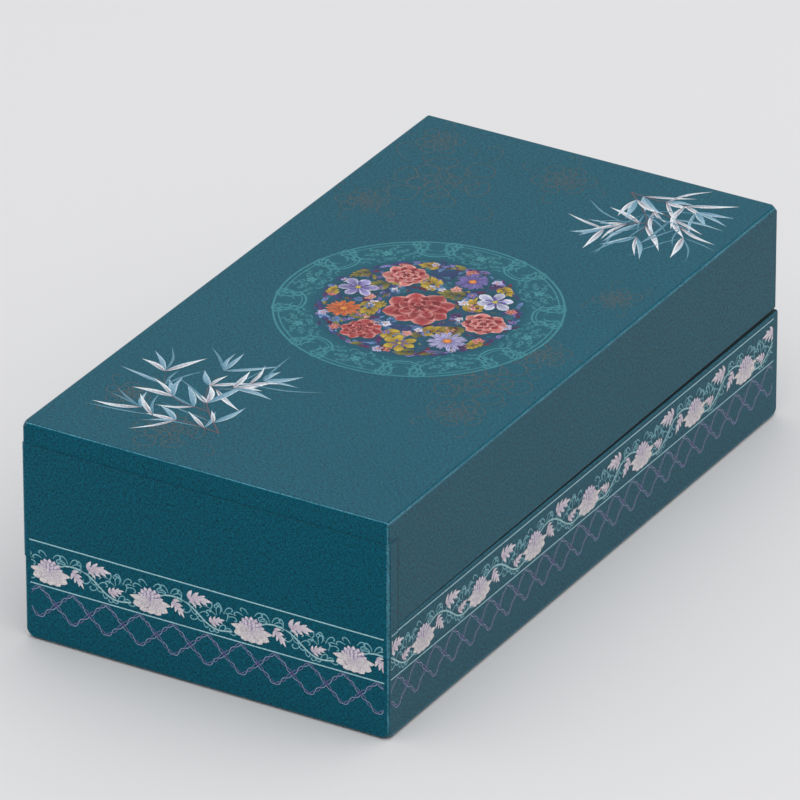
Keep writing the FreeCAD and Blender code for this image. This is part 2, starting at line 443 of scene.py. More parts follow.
class Print:
    layerStep = 0.016  # millimetres between inks that overlap
    shingle = 0.006  # slope across a stroke, so that neighbours lie over each other
    stagger = 0.003  # strokes of one layer lie at three heights
    patchSize = 1500  # points
    cutNear = 1e-5

    def __init__(self, name):
        self.name = name
        self.count = 0
        self.bm = bmesh.new()
        self.open()

    def open(self):
        self.patch = bmesh.new()
        self.ink = self.patch.verts.layers.float_color.new("ink")

    def gather(self, limit=0):  # small patches are quick to add to, so they join the print in turn
        if len(self.patch.verts) > limit:
            mesh = bpy.data.meshes.new("patch")
            self.patch.to_mesh(mesh)
            self.patch.free()
            self.bm.from_mesh(mesh)
            bpy.data.meshes.remove(mesh)
            self.open()

    def stroke(self, points, width, inks, steps=12, across=2, form=even, layer=0):
        # inks: root, tip, left rim and, where it differs, right rim
        points = [Vector(point) for point in points]
        root, tip, rim, farRim = inks[0], inks[1], inks[2], inks[-1]
        self.gather(self.patchSize)
        grid = makeGrid(self.patch, steps, across)
        self.count += 1
        lift = layer * self.layerStep + (self.count % 3) * self.stagger
        places = [alongLine(points, number / steps) for number in range(steps + 1)]
        for vert in grid:
            t = (vert.co.x + 1) / 2
            s = vert.co.y
            place, way = places[round(t * steps)]
            side = Vector((-way.y, way.x)) * s * width / 2 * form(t)
            vert.co = (place.x + side.x, place.y + side.y, lift + s * self.shingle)
            share = s * s if across < 4 else abs(s) ** 3
            vert[self.ink] = mix(mix(root, tip, t), rim if s > 0 else farRim, share)

    def petal(self, base, angle, length, width, inks, bend=0.0, steps=8, form=petalForm,
              layer=0, across=2):
        way = Vector((cos(angle), sin(angle)))
        side = Vector((-way.y, way.x))
        base = Vector(base)
        points = [base, base + way * length * 0.5 + side * bend * length, base + way * length]
        self.stroke(points, width, inks, steps, across, form, layer)

    def curl(self, start, angle, size, turn, width, inks, layer=0, steps=12, wind=4.4):
        # wind: how far it turns in all, in radians, more and more tightly
        place = Vector(start)
        points = [place.copy()]
        count = 8
        for number in range(count):
            share = (number + 0.5) / count
            angle += turn * wind / count * 2 * share
            place = place + Vector((cos(angle), sin(angle))) * size * (1.2 - share)
            points.append(place.copy())
        self.stroke(points, width, inks, steps, 1, curlForm, layer)

    def disc(self, centre, radius, core, rim, layer=0, segments=12):
        self.gather(self.patchSize)
        made = bmesh.ops.create_circle(self.patch, cap_ends=True, cap_tris=True, radius=radius,
                                       segments=segments)
        for vert in made["verts"]:
            vert[self.ink] = mix(core, rim, vert.co.length / radius)
            vert.co += Vector((centre[0], centre[1], layer * self.layerStep))

    def trim(self, low, high, way=(1, 0, 0)):  # keep what lies between two values one way
        self.gather()
        way = Vector(way)
        for place, outward in ((low, -way), (high, way)):
            whole = self.bm.verts[:] + self.bm.edges[:] + self.bm.faces[:]
            bmesh.ops.bisect_plane(self.bm, geom=whole, dist=self.cutNear, plane_co=way * place,
                                   plane_no=outward, clear_outer=True)

    def lay(self, origin, right, up, body, folds=()):
        # folds: planes as point and direction, and the shift of what lies beyond all of them
        self.gather()
        right, up = Vector(right), Vector(up)
        out = right.cross(up)
        bmesh.ops.remove_doubles(self.bm, verts=self.bm.verts[:], dist=1e-4)
        for vert in self.bm.verts:
            vert.co = Vector(origin) + right * vert.co.x + up * vert.co.y + out * vert.co.z
        for planes, shift in folds:
            for point, way in planes:
                whole = self.bm.verts[:] + self.bm.edges[:] + self.bm.faces[:]
                cut = bmesh.ops.bisect_plane(self.bm, geom=whole, dist=self.cutNear,
                                             plane_co=point, plane_no=way)
                edges = [item for item in cut["geom_cut"] if isinstance(item, bmesh.types.BMEdge)]
                bmesh.ops.split_edges(self.bm, edges=edges)
            beyond = set()
            for face in self.bm.faces:
                middle = face.calc_center_median()
                if all((middle - Vector(point)).dot(way) > 0 for point, way in planes):
                    beyond.update(face.verts)
            bmesh.ops.translate(self.bm, verts=list(beyond), vec=shift)
        bmesh.ops.scale(self.bm, vec=(mm, mm, mm), verts=self.bm.verts[:])
        self.bm.normal_update()
        piece = addMesh(self.name, self.bm, printInk)
        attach(piece, body)


# border of scrolls and lattice round the base

border = dict(
    upperLine=45.8,
    lowerLine=26.0,
    lineWidth=0.62,
    flowerHeight=33.2,
    latticeTop=25.6,
    latticeFoot=10.9,
    stemWidth=0.8,
    curlWidth=0.52,
    curlWind=4.6,
    strandWidth=0.34,
    strandSway=0.74,
    margin=0.4,  # between the ends of the lines and the rest
    lift=0.035,
    hingeX=-159.6,
    frontY=84.6,
    leaf=0.4,  # the print steps out over the hinge leaf
    leafLap=-153.0,
)
lineInks = pen(ink(172, 211, 219), ink(134, 184, 196))
stemInks = (ink(172, 208, 212), ink(182, 214, 216), ink(116, 166, 176))
curlInks = (ink(136, 188, 196), ink(178, 216, 218), ink(122, 174, 184))
leafInks = (ink(190, 174, 192), ink(236, 230, 232), ink(198, 188, 202))
petalInks = (ink(176, 160, 188), ink(230, 222, 228), ink(112, 94, 144))
bowlInks = (ink(196, 188, 198), ink(228, 222, 218), ink(202, 194, 202))
chainInks = (pen(ink(176, 182, 208, 0.9), ink(158, 162, 194, 0.8)),
             pen(ink(142, 136, 180, 0.9), ink(122, 114, 162, 0.8)))
crossInks = pen(ink(88, 64, 126, 0.8), ink(70, 54, 112, 0.7))

petalRows = ((9, 7.4, 3.1), (8, 6, 2.7), (6, 4.5, 2.2), (4, 3, 1.7))  # number, length, width
bowlPetals = (  # heading, length, width, form
    (176, 9.8, 3.4, leafForm), (4, 9.8, 3.4, leafForm), (198, 8.6, 4, petalForm),
    (-18, 8.6, 4, petalForm), (224, 6.8, 4.6, petalForm), (-44, 6.8, 4.6, petalForm),
    (270, 5.4, 6.8, petalForm))
leafLobes = (  # turn from the leaf's line, start, length and width as shares of its length
    (62, 0.02, 0.4, 0.17), (48, 0.2, 0.42, 0.16), (32, 0.4, 0.4, 0.14), (-54, 0.06, 0.4, 0.16),
    (-42, 0.26, 0.38, 0.15), (-26, 0.48, 0.34, 0.13), (0, 0, 1, 0.24))
stemLine = (  # across and up from the flower
    (4.6, 3.4), (8.2, 4.8), (12.4, 5), (17.6, 3.4), (22.4, 0), (26.8, -3.2), (31.6, -4.6),
    (38, -3.6))
vineLeaves = ((17.6, 6, 6, 11.6), (10.2, 3, -50, 8.8), (27.8, -2.4, 24, 7.6))
vineCurls = (  # across and up from the flower, heading, size, hand
    (7, 5.2, 170, 1, 1), (7.6, 5.6, 140, 1.15, 1), (8.6, 5.8, 108, 1.2, 1),
    (9.6, 5.8, 72, 1.2, -1), (10.6, 5.6, 40, 1.15, -1), (11.4, 5.2, 10, 0.95, -1),
    (14.8, 5.2, 80, 1, 1), (-1.4, 6.6, 120, 1.05, 1), (1.6, 6.6, 60, 1.05, -1),
    (-3.8, 5.4, 150, 1.1, 1), (4, 5.6, 30, 0.9, -1), (-7.6, 4, 150, 0.95, 1),
    (18.2, 2.6, -70, 1.2, 1), (19.2, 2, -110, 1.2, -1), (21.2, 0.6, -80, 1.2, 1),
    (22.8, -0.6, -120, 1.2, -1), (24.8, -2, -95, 0.9, 1), (19.6, 2.4, 60, 1.15, -1),
    (21.2, 1.2, 95, 1.2, 1), (22.6, 0.2, 50, 1.2, -1), (25, 4.8, 5, 1, -1),
    (27.4, 3.6, 40, 1, 1), (30.4, 1.6, 135, 1.2, 1), (30.8, 2, 100, 1.35, -1),
    (32.2, 3, 60, 1.3, 1), (33.8, 4, 110, 1.2, 1), (34.6, 4.2, 70, 1.2, -1),
    (36, 2.4, 30, 1.1, -1), (35.2, 0.2, 60, 1.1, 1), (28.6, -3.8, -65, 0.95, 1),
    (30.4, -4.4, -120, 0.85, -1), (31.8, -4.4, 75, 1.05, -1), (34, -4.2, 50, 1, -1),
    (36.2, -4, -40, 0.95, 1))


def borderFlower(art, x, y):
    for row, (count, reach, wide) in enumerate(petalRows):
        for number in range(count):
            share = number / (count - 1)
            angle = radians(170 - 160 * share)
            length = reach * (0.86 + 0.14 * sin(pi * share))
            art.petal((x, y - 1.3), angle, length, wide, petalInks, layer=3 + row, across=4)
    for angle, length, width, form in bowlPetals:
        art.petal((x, y - 0.7), radians(angle), length, width, bowlInks, layer=7, form=form,
                  across=4)


def vineLeaf(art, x, y, angle, size, facing):
    way = radians(angle)
    for turn, start, length, width in leafLobes:
        base = (x + facing * cos(way) * start * size, y + sin(way) * start * size)
        heading = way + radians(turn)
        if facing < 0:
            heading = pi - heading
        art.petal(base, heading, length * size, width * size, leafInks, bend=0.06 * facing,
                  form=leafForm, layer=3, across=4)


def borderVine(art, x, y, facing):  # one repeat of the vine, from a flower towards the next
    def at(dx, dy):
        return (x + facing * dx, y + dy)
    art.stroke([at(*point) for point in stemLine], border["stemWidth"], stemInks, steps=30,
               layer=2)
    for dx, dy, angle, size in vineLeaves:
        vineLeaf(art, *at(dx, dy), angle, size, facing)
    for dx, dy, angle, size, turn in vineCurls:
        heading = radians(angle) if facing > 0 else pi - radians(angle)
        art.curl(at(dx, dy), heading, size, turn * facing, border["curlWidth"], curlInks,
                 layer=1, wind=border["curlWind"])


def latticeSide(art, x, middle, end, side, upward, pitch):
    # two twisted strands from a crossing at the side to the tip above or below
    for strand in (-1, 1):
        points = []
        for step in range(9):
            t = step / 8
            across = x + side * pitch / 2 * (1 - t)
            rise = middle + (end - middle) * (t if t < 0.85 else 0.85 + (t - 0.85) * 0.55)
            sway = strand * border["strandSway"] * sin(pi * 3 * t) * (1 - 0.25 * t)
            points.append((across + sway * 0.66 * upward * side, rise + sway * 0.75))
        art.stroke(points, border["strandWidth"], chainInks[strand > 0], steps=18, across=1,
                   layer=1 + (strand > 0))


def borderLattice(art, high, pitch, start, raised):
    top, foot = border["latticeTop"] + raised, border["latticeFoot"] + raised
    middle = (top + foot) / 2
    x = start - pitch
    while x < high + pitch:
        for side in (-1, 1):
            latticeSide(art, x, middle, foot, side, -1, pitch)
            latticeSide(art, x, middle, top, side, 1, pitch)
        for angle in (42, 138, 222, 318):
            art.petal((x + pitch / 2, middle), radians(angle), 1.3, 0.6, crossInks, steps=4,
                      form=leafForm, layer=3)
        x += pitch


shortFlowers = (-72.4, -25.3, 21.8, 68.9)
longFlowers = (-132.3, -88.1, -44.0, 0.1, 44.1, 88.1, 131.4)
shortRun = dict(
    flowers=shortFlowers,
    vines=[(-72.4 - 47.1, 1)] + [(x, 1) for x in shortFlowers],
    lattice=(15.75, -77.8),  # pitch, start
    raised=0.0,
)
longRun = dict(  # its vines run from both ends to the middle flower
    flowers=longFlowers,
    vines=([(-132.3 - 44.2, 1)] + [(x, 1) for x in longFlowers[:3]]
           + [(x, -1) for x in longFlowers[4:]] + [(131.4 + 43.6, -1)]),
    lattice=(14.5, -152.5),
    raised=1.2,
)


def borderArt(name, low, high, run):
    art = Print(name)
    raised = run["raised"]
    y = border["flowerHeight"] + raised
    for x in run["flowers"]:
        borderFlower(art, x, y)
    for x, facing in run["vines"]:
        borderVine(art, x, y, facing)
    borderLattice(art, high, *run["lattice"], raised)
    art.trim(low + border["margin"], high - border["margin"])
    for height in (border["upperLine"], border["lowerLine"]):
        height += raised
        art.stroke([(low, height), (low / 2 + high / 2, height), (high, height)],
                   border["lineWidth"], lineInks, steps=60, layer=8)
    return art


def makeBorders():
    lift, leaf = border["lift"], border["leaf"]
    hingeX, frontY = border["hingeX"] - lift, border["frontY"] + lift
    onLeaf = ((0, 0, boxSize["leafFoot"]), (0, 0, 1))
    onLap = (onLeaf, ((border["leafLap"], 0, 0), (-1, 0, 0)))
    for face, low, high, run, origin, right, folds in (
            ("hinge", -81.8, 82.8, shortRun, (hingeX, 0, 0), (0, -1, 0),
             [([onLeaf], (-leaf, 0, 0))]),
            ("front", -158.0, 155.4, longRun, (0, -frontY, 0), (1, 0, 0),
             [(onLap, (0, -leaf, 0))]),
            ("end", -82.0, 82.0, shortRun, (boxSize["end"] + lift, 0, 0), (0, 1, 0), []),
            ("back", -158.0, 157.4, longRun, (0, frontY, 0), (-1, 0, 0),
             [(onLap, (0, leaf, 0))])):
        art = borderArt("base_" + face + "_print", low, high, run)
        art.lay(origin, right, (0, 0, 1), "base", folds)


# painted shadow beside the edges of the hinge leaves
leafShadowInks = (ink(6, 34, 46, 0.85), ink(6, 34, 46, 0.85), ink(6, 44, 56, 0.0), ink(6, 34, 46, 0.9))
leafShadowLine = dict(
    edge=152.4,  # of the leaf, from the middle of the box
    out=84.65,
    stray=0.05,
    runs=(("base", 37.7, 49.2, 1.5), ("lid", 50.6, 88.2, 1.2)),  # body, foot, top, width
)


def makeLeafShadowLines():  # painted shadow: the dark line at the foot of each leaf's edge
    for side in (-1, 1):
        for body, low, high, wide in leafShadowLine["runs"]:
            art = Print(body + ("_front" if side < 0 else "_back") + "_leaf_shadow_line")
            wander = Random(4)
            stray = leafShadowLine["stray"]
            points = [(leafShadowLine["edge"] * side + wander.uniform(-stray, stray),
                       low + (high - low) * step / 8) for step in range(9)]
            art.stroke(points, wide, leafShadowInks if side < 0 else leafShadowInks[:2] + leafShadowInks[:1:-1],
                       steps=24, across=4)
            art.lay((0, side * leafShadowLine["out"], 0), (-side, 0, 0), (0, 0, 1), body)


hingeStrip = dict(
    corner=1.7,
    proud=0.03,
    bend=6,  # steps round a corner
    heights=(37.6, 42.0, 46.0, 48.0, 48.7, 48.9, 49.1, 49.2, 49.3, 49.4, 49.5, 49.7, 49.9, 50.6,
             54.0, 62.0, 75.0, 88.4),
)


def makeHingeStrip():
    half, corner, proud = boxSize["side"], hingeStrip["corner"], hingeStrip["proud"]
    heights, bend = hingeStrip["heights"], hingeStrip["bend"]
    path = []
    for side in (-1, 1):
        arc = []
        for number in range(bend + 1):
            angle = pi / 2 * number / bend
            arc.append((-boxSize["end"] + corner - (corner + proud) * sin(angle),
                        side * (half - corner + (corner + proud) * cos(angle))))
        path += arc if side < 0 else arc[::-1]
    bm = bmesh.new()
    columns, rows = len(path) - 1, len(heights) - 1
    for vert in makeGrid(bm, columns, rows):
        x, y = path[round((vert.co.x + 1) / 2 * columns)]
        vert.co = (x * mm, y * mm, heights[round((vert.co.y + 1) / 2 * rows)] * mm)
    bmesh.ops.recalc_face_normals(bm, faces=bm.faces[:])
    if sum(face.normal.x for face in bm.faces) > 0:
        bmesh.ops.reverse_faces(bm, faces=bm.faces[:])
    strip = addMesh("hinge_strip", bm, tealPaper)
    for face in strip.data.polygons:
        face.use_smooth = True
    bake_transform(strip)


# ring of cloud scrolls round the picture, on the lid

lidPlace = dict(
    edge=158.0,  # the prints are cut off here
    side=83.2,
    faint=0.02,  # height over the paper
    sprays=0.03,
    ring=0.03,
    picture=0.06,
)
ringPlan = dict(
    centre=(4.2, -2.6),
    outerRadius=59.2,
    pictureRadius=42.8,
    brackets=8,
    groundInset=0.6,  # of the tinted ground at the outer line
    groundLess=0.4,  # it is narrower by this than the ring, and laps the picture
)
ringGround = ink(24, 104, 114, 0.2)
ringInks = pen(ink(66, 138, 146), ink(54, 126, 136))
filigreeInks = (ink(56, 128, 138), ink(68, 140, 148), ink(50, 120, 130))
ringLines = ((0, 0.95, 0.5), (-2.1, 0.6, 0.36))  # rise from the rim, width, reach each way
cupLines = ((0, 0.95), (1.6, 0.55))  # inset, width
cupPath = (  # aside, rise, and what an inset does to each
    (7, 0, -0.4, -1.2), (8.6, -3.4, -1, 0), (7.6, -6.6, -1, 0), (7.2, -9.4, -1, 0.4),
    (3.6, -12.2, 0, 1), (0, -12.9, 0, 1))
cupCurls = (  # aside, rise, heading, size, width; some close the cup, some hook beside it
    (5.6, 0.6, 1.7, 1.5, 1), (2.6, -1.8, 1.9, 1.7, 0.95), (4.6, -5.8, -0.5, 1.35, 0.85),
    (1.5, -8, 0.9, 1.1, 0.75), (9.2, -5, -2.2, 1.5, 0.9), (8.8, -9.6, -1.7, 1.3, 0.8))
filigree = dict(
    rises=(-4.4, -7.2, -10.0, -12.8, -15.2),
    places=4,  # in each row, between these two
    aside=(9.6, 23.0),
    quarter=1.57,  # radians between the headings of neighbours
    stray=(0.8, 0.35),  # of place and heading
    width=0.66,
    wind=4.8,
)
ringBlossom = dict(rise=-8.6, petals=5, length=2.5, width=1.7)


def trimToLid(art):
    art.trim(-lidPlace["edge"], lidPlace["edge"])
    art.trim(-lidPlace["side"], lidPlace["side"], (0, 1, 0))


def layOnLid(art, what):
    art.lay((0, 0, boxSize["top"] + lidPlace[what]), (1, 0, 0), (0, 1, 0), "lid")


def polar(angle, radius):
    centre = ringPlan["centre"]
    return (centre[0] + cos(angle) * radius, centre[1] + sin(angle) * radius)


def halfBracket(art, bearing, hand):  # with the ground beside it
    outer = ringPlan["outerRadius"]

    def at(aside, rise):
        return polar(bearing + hand * aside / (outer + rise), outer + rise)
    # the bracket turns in from the outer line round the foot of a cup
    for inset, wide in cupLines:
        points = [at(aside + inset * shift, rise + inset * lift)
                  for aside, rise, shift, lift in cupPath]
        art.stroke(points, wide, ringInks, steps=24, across=1, layer=2)
    for aside, rise, angle, size, wide in cupCurls:
        art.curl(at(aside, rise), bearing + hand * angle, size, hand, wide, ringInks, layer=2)
    # fine scrolls fill the ground between the brackets
    spread = Random(3)
    near, far = filigree["aside"]
    stray, sway = filigree["stray"]
    for row, rise in enumerate(filigree["rises"]):
        for place in range(filigree["places"]):
            aside = near + (place + 0.5) * (far - near) / filigree["places"]
            aside = aside * (outer + rise) / outer
            heading = filigree["quarter"] * (row + place) + spread.uniform(-sway, sway)
            coil = 1 if (row + place) % 2 else -1
            art.curl(at(aside + stray * sin(heading), rise), bearing + hand * heading, 1.0,
                     coil * hand, filigree["width"], filigreeInks, layer=1, wind=filigree["wind"])


def makeRing():
    art = Print("lid_ring_print")
    outer = ringPlan["outerRadius"]
    breadth = outer - ringPlan["pictureRadius"] - ringPlan["groundLess"]
    for vert in makeGrid(art.patch, 160, 6):
        share = (vert.co.y + 1) / 2
        radius = outer - ringPlan["groundInset"] - share * breadth
        x, y = polar(vert.co.x * pi, radius)
        vert.co = (x, y, 0)
        vert[art.ink] = ringGround[:3] + (ringGround[3] * (1 - max(0.0, share * 6 - 5)),)
    step = 2 * pi / ringPlan["brackets"]
    for number in range(ringPlan["brackets"]):
        turn = step * number
        # the outer line runs all round, the inner one from bracket to bracket
        for rise, wide, reach in ringLines:
            points = [polar(turn + step * reach * (share / 4 - 1), outer + rise)
                      for share in range(9)]
            art.stroke(points, wide, ringInks, steps=24, across=1, layer=1)
        halfBracket(art, turn + step / 2, -1)
        halfBracket(art, turn + step / 2, 1)
        # a small blossom half way between two brackets
        for petal in range(ringBlossom["petals"]):
            angle = turn + 2 * pi * petal / ringBlossom["petals"]
            art.petal(polar(turn, outer + ringBlossom["rise"]), angle, ringBlossom["length"],
                      ringBlossom["width"], ringInks, layer=2, steps=5)
    layOnLid(art, "ring")


# round picture of flowers

coralInks = (ink(84, 14, 34), ink(170, 60, 64), ink(218, 150, 144))
deepCoralInks = (ink(62, 8, 26), ink(140, 36, 46), ink(196, 108, 104))
roseInks = (ink(130, 34, 50), ink(206, 122, 116), ink(226, 180, 174))
lilacInks = (ink(70, 58, 128), ink(160, 156, 206), ink(204, 202, 228))
violetInks = (ink(56, 44, 104), ink(104, 92, 160), ink(138, 130, 186))
whiteInks = (ink(104, 104, 158), ink(198, 202, 222), ink(226, 228, 236))
orangeInks = (ink(132, 40, 28), ink(208, 104, 58), ink(222, 136, 84))
goldInks = (ink(96, 72, 24), ink(206, 180, 66), ink(170, 140, 48))
oliveInks = (ink(60, 64, 34), ink(150, 142, 70), ink(110, 104, 50))
duskInks = (ink(34, 40, 84), ink(66, 72, 124), ink(44, 56, 104))
plumInks = (ink(54, 24, 66), ink(98, 60, 110), ink(70, 40, 88))
seaInks = (ink(18, 70, 92), ink(52, 118, 136), ink(34, 92, 112))
wineInks = (ink(64, 16, 36), ink(124, 44, 62), ink(92, 28, 48))
skyInks = (ink(46, 84, 132), ink(112, 146, 186), ink(80, 116, 162))

picture = dict(
    fillLeaves=420,
    fillGap=3.4,  # from the bases of these leaves to the edge
    rimLeaves=130,
    sprigs=22,
    sprigRadii=(16.5, 24.5, 36.0),
    buds=44,
    budRadii=(19.0, 22.5, 39.0, 20.5, 37.6, 24.5),
    bearingStep=137.5,  # degrees from one to the next spread them evenly
    shade=1.08,  # radius of the dusk behind a bloom, as a share of its size
)
fillInks = (duskInks, plumInks, seaInks, violetInks, skyInks, duskInks, wineInks, oliveInks)
sprigInks = (seaInks, skyInks, plumInks, goldInks, wineInks)
budInks = (whiteInks, roseInks, lilacInks, skyInks, coralInks, violetInks)
shadeInk = ink(22, 26, 54, 0.75)
flowerKinds = dict(  # rings of petals: number, start, length, width, which inks; inks; core
    rose=(((8, 0.8, 9.4, 6.8, 0), (8, 0.6, 7.6, 5.2, 1), (7, 0.4, 6, 4.2, 0),
           (6, 0.3, 4.4, 3.2, 1), (5, 0.2, 3, 2.5, 0), (4, 0.1, 1.8, 1.8, 1)),
          deepCoralInks, None),
    daisy=(((20, 1.6, 8, 2, 0), (16, 1.3, 5.6, 1.6, 0)),
           None, (2.2, ink(224, 160, 70), ink(186, 96, 52))),
    star=(((6, 0.8, 9, 5.8, 0), (6, 0.6, 5.2, 1.6, 1)),
          violetInks, (1.4, goldInks[1], oliveInks[1])),
)
largeBlooms = (  # kind, bearing in degrees, distance from the centre, size, inks
    ("rose", 0, 0, 14.2, coralInks), ("rose", 40, 29.5, 9.4, roseInks),
    ("star", 83, 31, 8.8, lilacInks), ("daisy", 120, 30.5, 7.8, orangeInks),
    ("rose", 158, 30, 8.8, coralInks), ("star", 196, 31.5, 7.2, goldInks),
    ("daisy", 232, 31, 8.6, lilacInks), ("rose", 272, 29.6, 9.6, roseInks),
    ("star", 310, 31.5, 8.6, whiteInks), ("daisy", 347, 32, 7.8, violetInks))
brightLeaves = (  # bearing, distance from the centre, heading, size, inks
    (10, 20, 60, 12, goldInks), (62, 26, 150, 11, oliveInks), (104, 20, 200, 12, goldInks),
    (140, 21, 100, 10, oliveInks), (176, 24, 250, 11, goldInks), (216, 21, 310, 12, goldInks),
    (252, 22, 200, 11, oliveInks), (293, 22, 20, 12, goldInks), (330, 21, 100, 11, oliveInks),
    (100, 38, 15, 7, goldInks), (207, 38, 120, 8, oliveInks), (18, 38, 110, 8, goldInks),
    (328, 38, 240, 8, goldInks), (250, 38, 170, 8, goldInks), (62, 38, 140, 8, oliveInks))


def tinted(inks, factor):
    return tuple(tuple(value * factor for value in one[:3]) + (one[3],) for one in inks)


def flower(art, kind, x, y, size, inks, draw):
    turn = draw.uniform(0, 1)
    rings, otherInks, core = flowerKinds[kind]
    s = size / 10
    for number, (count, inner, reach, wide, which) in enumerate(rings):
        for index in range(count):
            angle = turn + 2 * pi * (index + 0.5 * (number % 2)) / count
            angle += draw.uniform(-0.12, 0.12)
            length = reach * s * draw.uniform(0.86, 1.08)
            base = (x + cos(angle) * inner * s, y + sin(angle) * inner * s)
            art.petal(base, angle, length, wide * s * draw.uniform(0.85, 1.1),
                      tinted((inks, otherInks)[which], draw.uniform(0.72, 1.08)),
                      bend=draw.uniform(-0.05, 0.09), layer=4 + number, across=4)
    if core:
        art.disc((x, y), core[0] * s, core[1], core[2], layer=4 + len(rings))


def leafSpray(art, x, y, angle, size, inks, draw, pairs=3):
    way = Vector((cos(angle), sin(angle)))
    for number in range(pairs):
        base = Vector((x, y)) + way * size * 0.26 * number
        for hand in (-1, 1):
            art.petal(base, angle + hand * (0.8 - 0.12 * number), size * (0.56 - 0.06 * number),
                      size * 0.26, tinted(inks, draw.uniform(0.7, 1.1)), form=leafForm,
                      bend=0.1 * hand, layer=3, across=4)
    art.petal(base, angle, size * 0.56, size * 0.26, inks, form=leafForm, layer=3, across=4)


def pictureGround(art, reach):  # a dusky blue that is uneven, with an uneven edge
    for vert in makeGrid(art.patch, 96, 12):
        angle = vert.co.x * pi
        share = (vert.co.y + 1) / 2
        edge = reach + 0.5 * sin(angle * 9) + 0.3 * sin(angle * 23)
        x, y = polar(angle, edge * (1 - share * 0.999))
        vert.co = (x, y, 0)
        shade = 0.5 + 0.5 * sin(x * 0.21 + 1.3 * sin(y * 0.17)) * cos(y * 0.19)
        tone = mix(ink(20, 78, 100), ink(38, 54, 96), shade)
        vert[art.ink] = tone[:3] + (min(1.0, share * 9),)


def makePicture():
    art = Print("lid_picture_print")
    reach = ringPlan["pictureRadius"]
    draw = Random(11)
    pictureGround(art, reach)
    # dusky leaves fill the ground
    for number in range(picture["fillLeaves"]):
        radius = min(reach * sqrt(draw.uniform(0.06, 1.0)), reach - picture["fillGap"])
        angle = draw.uniform(0, 2 * pi)
        art.petal(polar(angle, radius), angle + draw.uniform(1.0, 5.3), draw.uniform(3.4, 7.6),
                  draw.uniform(1.4, 3.0), tinted(fillInks[number % 8], draw.uniform(0.7, 1.25)),
                  form=leafForm, bend=draw.uniform(-0.18, 0.18), layer=1 + number % 2, steps=6)
    edging = Random(5)
    for number in range(picture["rimLeaves"]):  # and close up the picture's edge
        angle = 2 * pi * number / picture["rimLeaves"]
        art.petal(polar(angle, reach - edging.uniform(1.2, 5.5)), angle + edging.uniform(1.0, 2.2),
                  edging.uniform(2.6, 5.0), edging.uniform(1.3, 2.4),
                  tinted(fillInks[number % 7], edging.uniform(0.8, 1.3)), form=leafForm,
                  layer=1 + number % 2, steps=6)
    for bearing, radius, facing, size, inks in brightLeaves:
        x, y = polar(radians(bearing), radius)
        leafSpray(art, x, y, radians(facing), size, inks, draw)
    for number in range(picture["sprigs"]):
        x, y = polar(radians(number * picture["bearingStep"] + 60),
                     picture["sprigRadii"][number % 3])
        leafSpray(art, x, y, number * 2.1, draw.uniform(4.6, 7.0), sprigInks[number % 5], draw, 2)
    for kind, bearing, radius, size, inks in largeBlooms:
        x, y = polar(radians(bearing), radius)
        art.disc((x, y), size * picture["shade"], shadeInk, shadeInk[:3] + (0.2,), layer=3,
                 segments=24)
        flower(art, kind, x, y, size, inks, draw)
    # small blooms and buds between them
    for number in range(picture["buds"]):
        x, y = polar(radians(number * picture["bearingStep"]), picture["budRadii"][number % 6])
        size = draw.uniform(1.8, 3.0)
        for index in range(5):
            art.petal((x, y), 1.26 * index + number, size, size * 0.74,
                      tinted(budInks[number % 6], draw.uniform(0.8, 1.1)), layer=3, steps=5)
        art.disc((x, y), size * 0.22, goldInks[1], orangeInks[1], layer=4, segments=6)
    layOnLid(art, "picture")


# sprays of long leaves and faint blossoms on the lid

spray = dict(
    places=((-102.0, 34.0, 38.0, 36.0), (119.0, -44.5, -28.0, -30.0)),  # middle, scale
    nodes=(0.16, 0.46, 0.74, 1.0),  # along a stem
    fans=(-1.0, 0.62, -0.38, 0.15),  # turns of a node's leaves
    leafLength=(13.0, 25.0),
    leafWidth=(1.5, 3.1),
    mist=(1.3, 0.45),  # its leaves are longer and narrower
    twigWidth=0.7,
    veinWidth=0.42,
    veinLength=0.62,
)
paleInks = (ink(140, 146, 160), ink(234, 242, 246), ink(178, 204, 218), ink(244, 246, 248))
blueInks = (ink(74, 124, 150), ink(158, 192, 208), ink(112, 156, 178), ink(190, 212, 222))
mistInks = (ink(60, 116, 138), ink(110, 152, 170), ink(80, 130, 150), ink(120, 158, 176))
twigInks = (ink(128, 96, 96), ink(120, 100, 104), ink(96, 84, 92))
veinInks = (ink(112, 76, 82), ink(172, 148, 154), ink(146, 120, 128))
sprayStems = (  # unit square, from the foot of each stem
    ((-0.7, -0.62), (-0.34, -0.26), (0.06, 0.02), (0.52, 0.1)),
    ((-0.34, -0.26), (-0.3, 0.14), (-0.12, 0.44), (0.2, 0.66)),
    ((-0.7, -0.62), (-0.66, -0.2), (-0.72, 0.16), (-0.62, 0.44)),
    ((0.06, 0.02), (0.26, -0.22), (0.54, -0.4)))


def sprayLeaf(art, place, angle, share, layer, draw):
    inks = (paleInks, blueInks, paleInks, mistInks)[draw.randrange(4)]
    length = draw.uniform(*spray["leafLength"]) * share
    angle += draw.uniform(-0.25, 0.25)
    bend = draw.uniform(-0.09, 0.09)
    width = draw.uniform(*spray["leafWidth"])
    if inks is mistInks:
        length *= spray["mist"][0]
        width *= spray["mist"][1]
    art.petal(place, angle, length, width, inks, form=bladeForm, bend=bend, layer=layer, steps=14,
              across=4)
    if inks is paleInks:
        art.petal(place, angle, length * spray["veinLength"], spray["veinWidth"],
                  veinInks, form=taper, bend=bend, layer=layer + 1, across=1)


